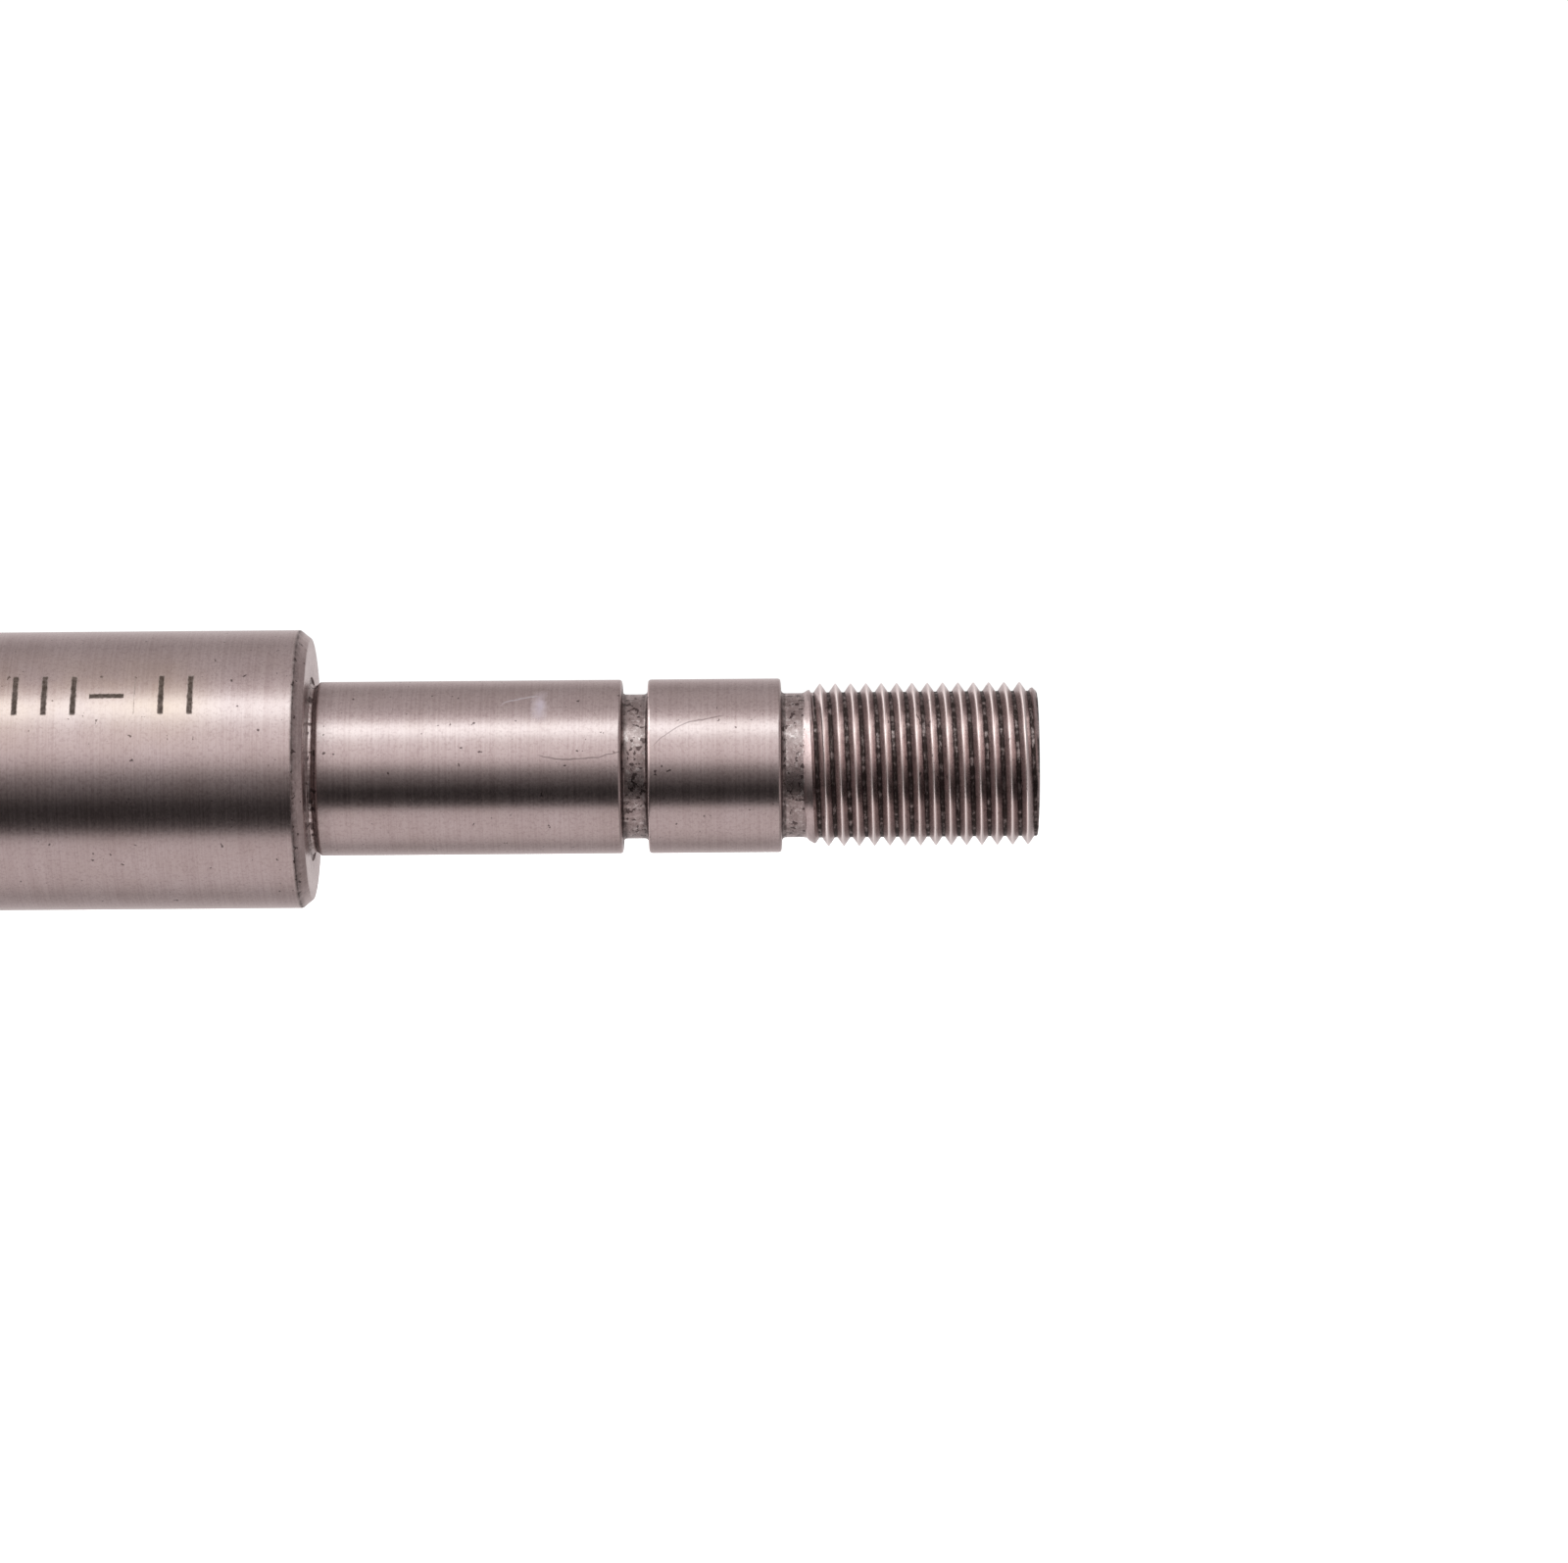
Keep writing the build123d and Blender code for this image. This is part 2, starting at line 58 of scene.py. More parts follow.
# in metres: points this near are merged, and edges this short are dissolved
DOUBLED, COLLAPSED = 2e-7, 1e-7
# degrees between two faces that make their edge hard
SHARP, TURNED_SHARP = 40.0, 35.0

# ---------------------------------------------------------------- sizes, in millimetres
# x counts from the bearing shoulder
screw_low, screw_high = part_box("screw_shaft")
nut_low, nut_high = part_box("nut_body")
spring_low, spring_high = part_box("nipple_spring")
SCREW_LEFT, SCREW_RIGHT = screw_low[0] / MM, screw_high[0] / MM
STUB_R, STUB_LENGTH = 7.5, 32.0
FLOAT_R = 10.0
RING_GROOVE_LEFT, RING_GROOVE_RIGHT, RING_GROOVE_R = -254.3, -253.0, 9.5
LAND_LEFT, LAND_R, LAND_CHAMFER = -240.0, 13.6, 1.0
# how much nearer the axis a point on the land's left face is for each mm of s
FACE_SLOPE = 0.25
LEAD, LEAD_COS = 6.0, 0.998
BALL_CIRCLE_R, BALL_GROOVE_R = 14.0, 2.17
GROOVE_START, GROOVE_TURNS, GROOVE_END = -249.0, 35, -40.0
# half the groove's width, without and with its broken edges, and where its sides get darker
GROOVE_HALF, GROOVE_EDGE, DARKER_FROM = 2.08, 2.32, 1.6
PLAIN_LAND = -33.0
SEAT_R, SEAT_START = 8.5, 1.05
FIRST_SEAT_END, SECOND_SEAT_START, SECOND_SEAT_END = 29.95, 33.3, 45.45
RELIEF_R, RELIEF_START, RELIEF_END, RELIEF_SLOPE = 7.05, 46.3, 49.5, 1.5
THREAD_CREST_R, THREAD_ROOT_R, THREAD_CHAMFER = 7.97, 7.10, 0.95
THREAD_PITCH, THREAD_TURNS = 1.5, 17
# half the crest and one flank, as shares of the pitch, and how far the crest is rounded off
CREST_HALF, FLANK, CREST_DROP = 0.04, 0.375, 0.05
CENTRE_R, CENTRE_DEPTH = 1.9, 3.4
# grime with painted shade, and pits: on the thread relief, on the slope up from it, on the end
# face and on the crests, where a negative value is a painted highlight
RELIEF_SHADE_AND_PITS, SLOPE_SHADE_AND_PITS, FACE_SHADE_AND_PITS, CREST_HIGHLIGHT_AND_PITS = (0.19, 0.9), (0.0, 0.1), (0.1, 0.2), (-1.0, 0.0)
# the part of the slope without grime or painted shade, and the shares of the depth where a
# crest ends and a root starts
SLOPE_FROM, SLOPE_TO, CREST_SHARE, ROOT_SHARE = RELIEF_END - 1.4, RELIEF_END - 0.5, 0.1, 0.95
# the thread's grime and painted shade: black in its roots, and on its flanks rising with depth; and
# its pits
ROOT_SHADE_AND_GRIME, FLANK_SHADE_AND_GRIME, SHADE_AND_GRIME_RISE, THREAD_PITS = 1.0, 0.02, 0.16, 0.3


# ---------------------------------------------------------------- meshes and objects
def mesh_of(name, data):
    """A mesh from a bmesh, which is freed."""
    mesh = bpy.data.meshes.new(name)
    data.to_mesh(mesh)
    data.free()
    return mesh


def placed(name, data):
    """An object with this mesh or camera, in the scene."""
    obj = bpy.data.objects.new(name, data)
    bpy.context.collection.objects.link(obj)
    return obj


# ---------------------------------------------------------------- turned shapes
class Turned:
    """A closed surface round the X axis, built row by row in millimetres.

    A row is a ring, or one turn of a helix. Each point has its grime with painted shade, and its
    pits, where a negative value is a painted highlight.
    """

    def __init__(self, around):
        self.around = around
        self.points, self.faces = [], []
        self.grime, self.pits = [], []
        self.last = None

    def vertex(self, x, r, angle, grime=0.0, pits=0.0):
        self.points.append((x * MM, r * cos(angle) * MM, r * sin(angle) * MM))
        self.grime.append(grime)
        self.pits.append(pits)
        return len(self.points) - 1

    def bridge(self, a, b):
        """Faces between two lists of vertices, each as long as the other."""
        for j in range(len(a) - 1):
            corners = []
            for v in (a[j], a[j + 1], b[j + 1], b[j]):
                if v not in corners:
                    corners.append(v)
            if len(corners) > 2:
                self.faces.append(corners)

    def ring(self, x, r, grime=0.0, pits=0.0):
        row = [self.vertex(x, r, 2 * pi * j / self.around, grime, pits) for j in range(self.around)]
        if self.last is None:
            self.first = row
        else:
            self.bridge(self.last + self.last[:1], row + row[:1])
        self.last = row

    def profile(self, rows):
        for row in rows:
            self.ring(*row)

    def pole(self, x, closing=True):
        """A point on the axis that closes the surface, after its last ring or before its first."""
        tip = self.vertex(x, 0, 0)
        row = self.last if closing else self.first
        for j in range(self.around):
            a, b = row[j], row[(j + 1) % self.around]
            self.faces.append([a, b, tip] if closing else [b, a, tip])

    def helix(self, start, pitch, turns, steps, surface):
        """Rows along a helix of the given pitch, from the last ring to a ring that this adds.

        steps are the rows' places within one pitch, from 0 up to but not including 1, and
        surface(s, angle, phase) gives x, r, grime and pits. s counts along the surface, and the
        phase is a whole number on each start of the helix.
        """
        m, n = self.around, len(steps)
        places = list(steps) + [1.0]

        def add(s, j):
            angle = 2 * pi * j / m
            x, r, grime, pits = surface(s, angle, (s - start) / pitch - j / m)
            return self.vertex(x, r, angle, grime, pits)

        ring = self.last
        first = [add(start + pitch * j / m, j) if j else ring[0] for j in range(m)]
        wedge = [ring] + [
            [ring[0]] + [add(start + places[i] * pitch * j / m, j) for j in range(1, m)]
            for i in range(1, n)
        ] + [first]
        rows = [first]
        for k in range(1, turns * n + 1):
            base = start + (k // n + places[k % n]) * pitch
            rows.append([add(base + pitch * j / m, j) for j in range(m)])
        end = start + turns * pitch
        last_ring = [add(end + pitch, j) for j in range(m)]
        closing = [rows[-1]] + [
            [add(end + pitch * (j / m + places[i] * (1 - j / m)), j) for j in range(m)]
            for i in range(1, n)
        ] + [last_ring]
        seam = [ring[0]] + [rows[k][0] for k in range(1, turns * n + 1)]
        seam += [closing[i][0] for i in range(1, n + 1)]
        for i in range(n):
            self.bridge(wedge[i] + [seam[i]], wedge[i + 1] + [seam[i + 1]])
        for k in range(turns * n):
            self.bridge(rows[k] + [seam[k + n]], rows[k + 1] + [seam[k + 1 + n]])
        for i in range(n):
            self.bridge(closing[i] + [last_ring[0]], closing[i + 1] + [last_ring[0]])
        self.last = last_ring

    def piece(self, name, sharp=SHARP):
        mesh = bpy.data.meshes.new(name)
        mesh.from_pydata(self.points, [], self.faces)
        for label, values in (("grime", self.grime), ("pits", self.pits)):
            layer = mesh.attributes.new(label, "FLOAT", "POINT")
            layer.data.foreach_set("value", values)
        obj = placed(name, mesh)
        tidy(obj, sharp)
        return obj


def tidy(obj, sharp=SHARP):
    """Merges doubled points, faces everything outwards and shades it smooth up to an angle."""
    work = bmesh.new()
    work.from_mesh(obj.data)
    bmesh.ops.remove_doubles(work, verts=work.verts, dist=DOUBLED)
    bmesh.ops.dissolve_degenerate(work, edges=work.edges, dist=COLLAPSED)
    bmesh.ops.recalc_face_normals(work, faces=work.faces)
    for face in work.faces:
        face.smooth = True
    for edge in work.edges:
        edge.smooth = len(edge.link_faces) != 2 or edge.calc_face_angle(0.0) < radians(sharp)
    work.to_mesh(obj.data)
    work.free()


def arc(cx, cr, radius, start, end, count, grime=0.0, pits=0.0):
    """Rows along an arc in the profile, with its angles in degrees from +X towards larger radii."""
    rows = []
    for i in range(count + 1):
        a = radians(start + (end - start) * i / count)
        rows.append((cx + radius * cos(a), cr + radius * sin(a), grime, pits))
    return rows


def straight(x0, r0, x1, r1, count, grime=0.0, pits=0.0):
    """Rows along a straight stretch of the profile, without its ends."""
    return [
        (x0 + (x1 - x0) * i / count, r0 + (r1 - r0) * i / count, grime, pits)
        for i in range(1, count)
    ]


# ---------------------------------------------------------------- the screw shaft
def ball_track(s, angle, phase):
    """The land with its ball groove. Left of the land, s runs down the land's face."""
    land = LAND_R
    if s < LAND_LEFT:
        land = LAND_R - LAND_CHAMFER + (s - LAND_LEFT) * FACE_SLOPE
        phase += (LAND_LEFT - s) / LEAD
    elif s < LAND_LEFT + LAND_CHAMFER:
        land = LAND_R - LAND_CHAMFER + (s - LAND_LEFT)
    turn = floor(phase)
    off = abs(phase - turn - 0.5) * LEAD * LEAD_COS
    last_turn = (GROOVE_END - GROOVE_START) / LEAD - 0.5
    past = (turn + angle / (2 * pi) - last_turn) * 2 * pi * LAND_R
    off = hypot(off, max(past, 0.0))
    if off >= GROOVE_EDGE:
        return max(s, LAND_LEFT), land, 0.0, 0.0
    groove = LAND_R - (GROOVE_EDGE - off)
    if off < GROOVE_HALF:
        groove = min(groove, BALL_CIRCLE_R - sqrt(BALL_GROOVE_R ** 2 - off ** 2))
    # the groove's sides are darker near its edges than its floor
    grime = 0.25 if off > DARKER_FROM else 0.1
    return max(s, LAND_LEFT), min(land, groove), grime, 0.0


def locknut_thread(s, angle, phase):
    """The thread relief, the fine thread, and the end face down which s runs."""
    near = abs(phase - round(phase))
    depth = THREAD_CREST_R - THREAD_ROOT_R
    if near < CREST_HALF:
        r = THREAD_CREST_R - CREST_DROP * near / CREST_HALF
    else:
        down = (near - CREST_HALF) / FLANK * (depth - CREST_DROP)
        r = max(THREAD_ROOT_R, THREAD_CREST_R - CREST_DROP - down)
    most = THREAD_CREST_R
    if s < RELIEF_END - RELIEF_SLOPE:
        most = RELIEF_R
    elif s < RELIEF_END:
        climbed = (s - RELIEF_END + RELIEF_SLOPE) / RELIEF_SLOPE
        most = RELIEF_R + climbed * (THREAD_CREST_R - RELIEF_R)
    elif s > SCREW_RIGHT:
        most = THREAD_CREST_R - THREAD_CHAMFER - (s - SCREW_RIGHT)
    elif s > SCREW_RIGHT - THREAD_CHAMFER:
        most = THREAD_CREST_R - (s - SCREW_RIGHT + THREAD_CHAMFER)
    r = min(r, most)
    deep = max(0.0, min(1.0, (THREAD_CREST_R - r) / depth))
    if s < SLOPE_FROM:
        return s, r, *RELIEF_SHADE_AND_PITS
    if s < SLOPE_TO:
        return s, r, *SLOPE_SHADE_AND_PITS
    if s > SCREW_RIGHT:
        return SCREW_RIGHT, r, *FACE_SHADE_AND_PITS
    # a crest gets a negative value: a painted highlight
    if deep < CREST_SHARE and s > RELIEF_END:
        return s, r, *CREST_HIGHLIGHT_AND_PITS
    # painted shade with grime: black in the roots, and darker with depth on the flanks
    grime = ROOT_SHADE_AND_GRIME if deep > ROOT_SHARE else FLANK_SHADE_AND_GRIME + SHADE_AND_GRIME_RISE * deep
    return s, r, grime, THREAD_PITS


def screw_shaft():
    """The whole shaft, from its driven end to its threaded end. Rows are x, r, grime with painted
    shade, and pits.
    """
    t = Turned(SCREW_AROUND)
    left, face = SCREW_LEFT, SCREW_LEFT + STUB_LENGTH
    # the centre hole, the end face, the driven stub and its fillet
    t.profile([(left + CENTRE_DEPTH, 0.05, 0.6, 0.2), (left + 0.2, CENTRE_R, 0.3, 0.2)])
    t.profile([(left, CENTRE_R + 0.2, 0.1, 0.2), (left, 4.5, 0, 0.2), (left, 6.35, 0.1, 0.2)])
    t.profile([(left + 0.15, 6.52, 0.2, 0.3), (left + 0.85, 7.32, 0.1, 0.2)])
    t.profile([(left + 1.0, 7.42, 0.2, 0.2), (left + 1.15, STUB_R, 0, 0.1)])
    t.profile(straight(left + 1.15, STUB_R, face - 0.3, STUB_R, 12))
    t.profile([(face - 0.3, STUB_R, 0.1, 0.1), (face - 0.1, STUB_R, 0.7, 0.3)])
    t.profile([(face, STUB_R + 0.1, 0.8, 0.3), (face, 7.9, 0.3, 0.2), (face, 9.4, 0.1, 0.2)])
    # the float seat, with its ring groove
    t.profile([(face + 0.1, 9.6, 0.1, 0.2), (face + 0.4, 9.9, 0.1, 0.2)])
    t.ring(face + 0.6, FLOAT_R, 0, 0.1)
    side = RING_GROOVE_LEFT
    t.profile([(side - 0.2, FLOAT_R, 0, 0.1), (side - 0.02, 9.96, 0.2, 0.2)])
    t.profile([(side, 9.85, 0.5, 0.4), (side, 9.55, 0.8, 0.6)])
    t.ring(side + 0.1, RING_GROOVE_R, 0.8, 0.8)
    side = RING_GROOVE_RIGHT
    t.profile([(side - 0.1, RING_GROOVE_R, 0.8, 0.8), (side, 9.55, 0.8, 0.6)])
    t.profile([(side, 9.85, 0.5, 0.4), (side + 0.02, 9.96, 0.2, 0.2)])
    t.ring(side + 0.2, FLOAT_R, 0, 0.1)
    t.profile(straight(side + 0.2, FLOAT_R, LAND_LEFT - 0.3, FLOAT_R, 6))
    t.profile([(LAND_LEFT - 0.3, FLOAT_R, 0.2, 0.2), (LAND_LEFT - 0.05, FLOAT_R, 0.8, 0.4)])
    # the land's left face and its ball groove
    t.ring(LAND_LEFT, FLOAT_R + 0.1, 0.7, 0.4)
    t.ring(LAND_LEFT, LAND_R - LAND_CHAMFER + (GROOVE_START - LAND_LEFT) * FACE_SLOPE, 0.2, 0.2)
    # the groove's edge and wall are this far from its middle, as shares of the lead
    edge, wall = 0.3875, 0.3475
    across = [GROOVE_HALF * sin(radians(a)) / (LEAD * LEAD_COS) for a in range(-72, 73, 18)]
    groove_rows = [0.0] + [0.5 + place for place in (-edge, -wall, *across, wall, edge)]
    t.helix(GROOVE_START, LEAD, GROOVE_TURNS, groove_rows, ball_track)
    # the plain land, its chamfer, and the bearing shoulder with the recess inside it
    t.profile(straight(PLAIN_LAND, LAND_R, -1.25, LAND_R, 16))
    t.profile([(-1.25, LAND_R, 0, 0.1), (-1.08, 13.592, 0.35, 0.6), (-0.98, 13.55, 0.6, 1.0)])
    t.profile([(-0.86, 13.46, 0.35, 0.6), (-0.5, 13.16, 0.1, 0.3), (-0.12, 12.86, 0.1, 0.2)])
    t.profile([(-0.03, 12.76, 0.15, 0.3), (0, 12.64, 0.15, 0.4)])
    t.profile([(0, 11.5, 0.1, 0.4), (0, 10.2, 0.15, 0.4), (0, 9.04, 0.2, 0.5)])
    t.profile([(-0.03, 9.0, 0.3, 0.6), (-0.18, 9.0, 0.4, 0.7)])
    t.profile([(-0.2, 8.96, 0.4, 0.8), (-0.2, 8.5, 0.4, 0.8), (-0.14, 8.4, 0.4, 0.8)])
    # the undercut
    t.profile([(0.02, 8.34, 0.32, 0.8), (0.12, 8.2, 0.1, 1.0), (0.28, 8.15, 0.0, 1.0)])
    t.profile([(0.5, 8.17, 0.0, 1.0), (0.66, 8.26, 0.1, 0.9), (0.78, 8.40, 0.25, 0.8)])
    t.profile([(0.88, 8.48, 0.15, 0.5), (SEAT_START, SEAT_R, 0.1, 0.2)])
    # the bearing seat and the narrow groove
    t.profile(straight(SEAT_START, SEAT_R, FIRST_SEAT_END, SEAT_R, 14))
    t.profile([(FIRST_SEAT_END, SEAT_R, 0, 0.1), (30.1, 8.495, 0.0, 0.1)])
    t.profile(arc(30.08, 8.22, 0.27, 80, 8, 5, 0.05, 0.2))
    t.profile([(30.37, 8.0, 0.5, 0.4), (30.40, 7.5, 0.7, 0.6)])
    t.profile(arc(30.73, 7.37, 0.32, 188, 262, 5, 0.6, 0.9))
    t.profile(straight(30.73, RELIEF_R, 32.47, RELIEF_R, 6, 0.19, 1.0))
    t.profile(arc(32.47, 7.42, 0.37, 278, 350, 5, 0.5, 0.9))
    t.profile([(32.86, 7.7, 0.4, 0.5), (32.89, 8.05, 0.25, 0.3)])
    t.profile(arc(33.17, 8.22, 0.27, 172, 100, 5, 0.05, 0.2))
    # the second seat
    t.profile([(33.15, 8.495, 0, 0.1), (SECOND_SEAT_START, SEAT_R, 0, 0.1)])
    t.profile(straight(SECOND_SEAT_START, SEAT_R, SECOND_SEAT_END, SEAT_R, 8))
    t.profile([(SECOND_SEAT_END, SEAT_R, 0, 0.1), (45.58, 8.495, 0, 0.1)])
    t.profile(arc(45.58, 8.25, 0.24, 80, 5, 5, 0.05, 0.2))
    t.profile([(45.86, 8.0, 0.5, 0.4), (45.89, 7.55, 0.8, 0.6)])
    t.profile(arc(46.24, 7.41, 0.36, 188, 264, 5, 0.6, 0.9))
    # the thread relief, the thread, the end face and its centre hole
    t.ring(RELIEF_START, RELIEF_R, 0.5, 0.9)
    thread_rows = [0.0, 0.04, 0.16, 0.29, 0.38, 0.415, 0.5, 0.585, 0.62, 0.71, 0.84, 0.96]
    t.helix(RELIEF_START, THREAD_PITCH, THREAD_TURNS, thread_rows, locknut_thread)
    t.profile([(SCREW_RIGHT, CENTRE_R + 0.2, 0.1, 0.2), (SCREW_RIGHT - 0.2, CENTRE_R, 0.3, 0.2)])
    t.ring(SCREW_RIGHT - CENTRE_DEPTH, 0.05, 0.6, 0.2)
    t.pole(SCREW_RIGHT - CENTRE_DEPTH - 0.03)
    t.pole(SCREW_LEFT + CENTRE_DEPTH + 0.03, closing=False)
    return t.piece("screw_shaft_ground", TURNED_SHARP)


# ---------------------------------------------------------------- materials
class Nodes:
    """Short ways to add and join the nodes of one material."""

    def __init__(self, name):
        self.material = bpy.data.materials.new(name)
        self.material.use_nodes = True
        self.tree = self.material.node_tree
        self.shader = self.tree.nodes["Principled BSDF"]

    def add(self, kind, **values):
        node = self.tree.nodes.new(kind)
        for key, value in values.items():
            if hasattr(node, key):
                setattr(node, key, value)
            else:
                node.inputs[key.replace("_", " ")].default_value = value
        return node

    def link(self, source, target):
        self.tree.links.new(source, target)

    def coordinates(self, scale):
        where = self.add("ShaderNodeTexCoord")
        mapping = self.add("ShaderNodeMapping")
        mapping.inputs["Scale"].default_value = scale
        self.link(where.outputs["Object"], mapping.inputs["Vector"])
        return mapping.outputs["Vector"]

    def noise(self, scale, detail, rough, stretch=(1, 1, 1)):
        node = self.add("ShaderNodeTexNoise", Scale=scale, Detail=detail, Roughness=rough)
        self.link(self.coordinates(stretch), node.inputs["Vector"])
        return node.outputs["Fac"]

    def ramp(self, source, stops):
        """A grey level that follows source through two or more places, each with its level."""
        node = self.add("ShaderNodeValToRGB")
        elements = node.color_ramp.elements
        while len(elements) < len(stops):
            elements.new(0.5)
        for element, (place, level) in zip(elements, stops):
            element.position = place
            element.color = (level, level, level, 1)
        self.link(source, node.inputs["Fac"])
        return node.outputs["Color"]

    def math(self, operation, a, b=0.0, clamp=False):
        node = self.add("ShaderNodeMath", operation=operation, use_clamp=clamp)
        for value, socket in ((a, node.inputs[0]), (b, node.inputs[1])):
            if isinstance(value, (int, float)):
                socket.default_value = value
            else:
                self.link(value, socket)
        return node.outputs[0]

    def mix(self, factor, a, b):
        node = self.add("ShaderNodeMix", data_type="RGBA")
        for value, socket in ((factor, node.inputs[0]), (a, node.inputs[6]), (b, node.inputs[7])):
            if isinstance(value, (int, float, tuple)):
                socket.default_value = value
            else:
                self.link(value, socket)
        return node.outputs[2]

    def attribute(self, name):
        return self.add("ShaderNodeAttribute", attribute_name=name).outputs["Fac"]

    def bump(self, height, strength, distance, under=None):
        node = self.add("ShaderNodeBump", Distance=distance)
        if isinstance(strength, float):
            node.inputs["Strength"].default_value = strength
        else:
            self.link(strength, node.inputs["Strength"])
        self.link(height, node.inputs["Height"])
        if under is not None:
            self.link(under, node.inputs["Normal"])
        return node.outputs["Normal"]


def ground_steel():
    """Fine-ground steel: grinding lines, pits, stains, a plain laser mark, the mesh's grime with
    painted shade, and painted highlights and glints.
    """
    n = Nodes("ground_steel")
    grime, pits = n.attribute("grime"), n.attribute("pits")
    # painted highlight on the crests, from the attribute's negative values
    painted_highlight = n.math("MULTIPLY", grime, -1.0, clamp=True)
    lines = n.noise(1.0, 3.0, 0.6, (4600, 60, 60))
    bands = n.noise(1.0, 3.0, 0.6, (300, 10, 10))
    cloud = n.noise(190, 5.0, 0.62)
    grain = n.noise(3300, 2.0, 0.6)
    speck = n.noise(1700, 2.0, 0.5)
    blotch = n.noise(330, 4.0, 0.65)
    warm, pale = (0.575, 0.475, 0.46, 1), (0.645, 0.545, 0.54, 1)
    base = n.mix(n.ramp(cloud, [(0.32, 0.0), (0.7, 1.0)]), warm, pale)
    base = n.mix(n.ramp(bands, [(0.42, 0.0), (0.75, 0.5)]), base, (0.675, 0.58, 0.565, 1))
    base = n.mix(n.ramp(lines, [(0.36, 0.22), (0.56, 0.0)]), base, (0.36, 0.26, 0.26, 1))
    base = n.mix(n.ramp(grain, [(0.30, 0.34), (0.52, 0.0)]), base, (0.33, 0.24, 0.24, 1))
    # mottled floors of the turned grooves, their pitted tone partly painted shade, then painted
    # glints in them and painted highlights on the crests
    mottle_and_shade = n.ramp(n.noise(1500, 5.0, 0.75), [(0.40, 1.0), (0.60, 0.1)])
    mottle_and_shade = n.math("MULTIPLY", mottle_and_shade, n.math("MULTIPLY", pits, 0.5))
    base = n.mix(mottle_and_shade, base, (0.20, 0.145, 0.135, 1))
    painted_glints = n.ramp(n.noise(2100, 3.0, 0.7), [(0.54, 0.0), (0.66, 1.0)])
    painted_glints = n.math("MULTIPLY", painted_glints, n.math("MULTIPLY", pits, 0.6))
    base = n.mix(n.math("MAXIMUM", painted_glints, painted_highlight), base, (0.98, 0.90, 0.88, 1))
    # small dark pits
    patches = n.math("MULTIPLY", n.ramp(blotch, [(0.5, 0.0), (0.78, 1.0)]), 0.085)
    more = n.math("ADD", n.math("MULTIPLY", pits, 0.13), patches)
    holes = n.math("GREATER_THAN", n.math("ADD", speck, more), 0.745)
    base = n.mix(n.math("MULTIPLY", holes, 0.8), base, (0.07, 0.045, 0.045, 1))
    # grime and painted shade in corners and roots, broken up by noise
    broken = n.ramp(n.noise(1300, 4.0, 0.75), [(0.30, 0.2), (0.58, 1.0)])
    dirt_and_shade = n.math("MULTIPLY", n.math("MULTIPLY", grime, 1.25), broken, clamp=True)
    base = n.mix(dirt_and_shade, base, (0.05, 0.037, 0.034, 1))
    base, stained = handling_marks(n, base)
    base, burnt = laser_mark(n, base)
    rough = n.math("ADD", n.math("MULTIPLY", lines, 0.10), 0.145)
    rough = n.math("ADD", rough, n.math("MULTIPLY", grain, 0.06))
    rough = n.math("ADD", rough, n.math("MULTIPLY", n.math("ADD", dirt_and_shade, burnt), 0.3))
    rough = n.math("ADD", rough, n.math("MULTIPLY", stained, 0.35), clamp=True)
    dull = n.math("ADD", burnt, n.math("MULTIPLY", stained, 0.7))
    n.link(base, n.shader.inputs["Base Color"])
    n.link(rough, n.shader.inputs["Roughness"])
    n.link(n.math("SUBTRACT", 1.0, dull, clamp=True), n.shader.inputs["Metallic"])
    turned = n.bump(lines, 0.10, 0.00001)
    grainy = n.bump(grain, 0.16, 0.00002, turned)
    rugged = n.math("ADD", n.math("MULTIPLY", pits, 0.55), 0.02)
    uneven = n.bump(n.noise(1500, 4.0, 0.7), rugged, 0.00006, grainy)
    pitted = n.bump(n.math("MULTIPLY", holes, -1.0), 0.6, 0.00006, uneven)
    n.link(pitted, n.shader.inputs["Normal"])
    return n.material


def millimetres(n):
    """The x and z of a point in millimetres, and how far in front of the axis it is."""
    split = n.add("ShaderNodeSeparateXYZ")
    where = n.add("ShaderNodeTexCoord")
    n.link(where.outputs["Object"], split.inputs[0])
    x, y, z = (split.outputs[i] for i in range(3))
    return [n.math("MULTIPLY", place, sign / MM) for place, sign in ((x, 1), (z, 1), (y, -1))]


def within(n, value, middle, half, soft):
    """1 within half of middle, falling to 0 over soft."""
    away = n.math("ABSOLUTE", n.math("SUBTRACT", value, middle))
    return n.math("DIVIDE", n.math("SUBTRACT", half + soft, away), soft, clamp=True)


def all_of(n, *masks):
    """The product of the masks."""
    out = masks[0]
    for mask in masks[1:]:
        out = n.math("MULTIPLY", out, mask)
    return out


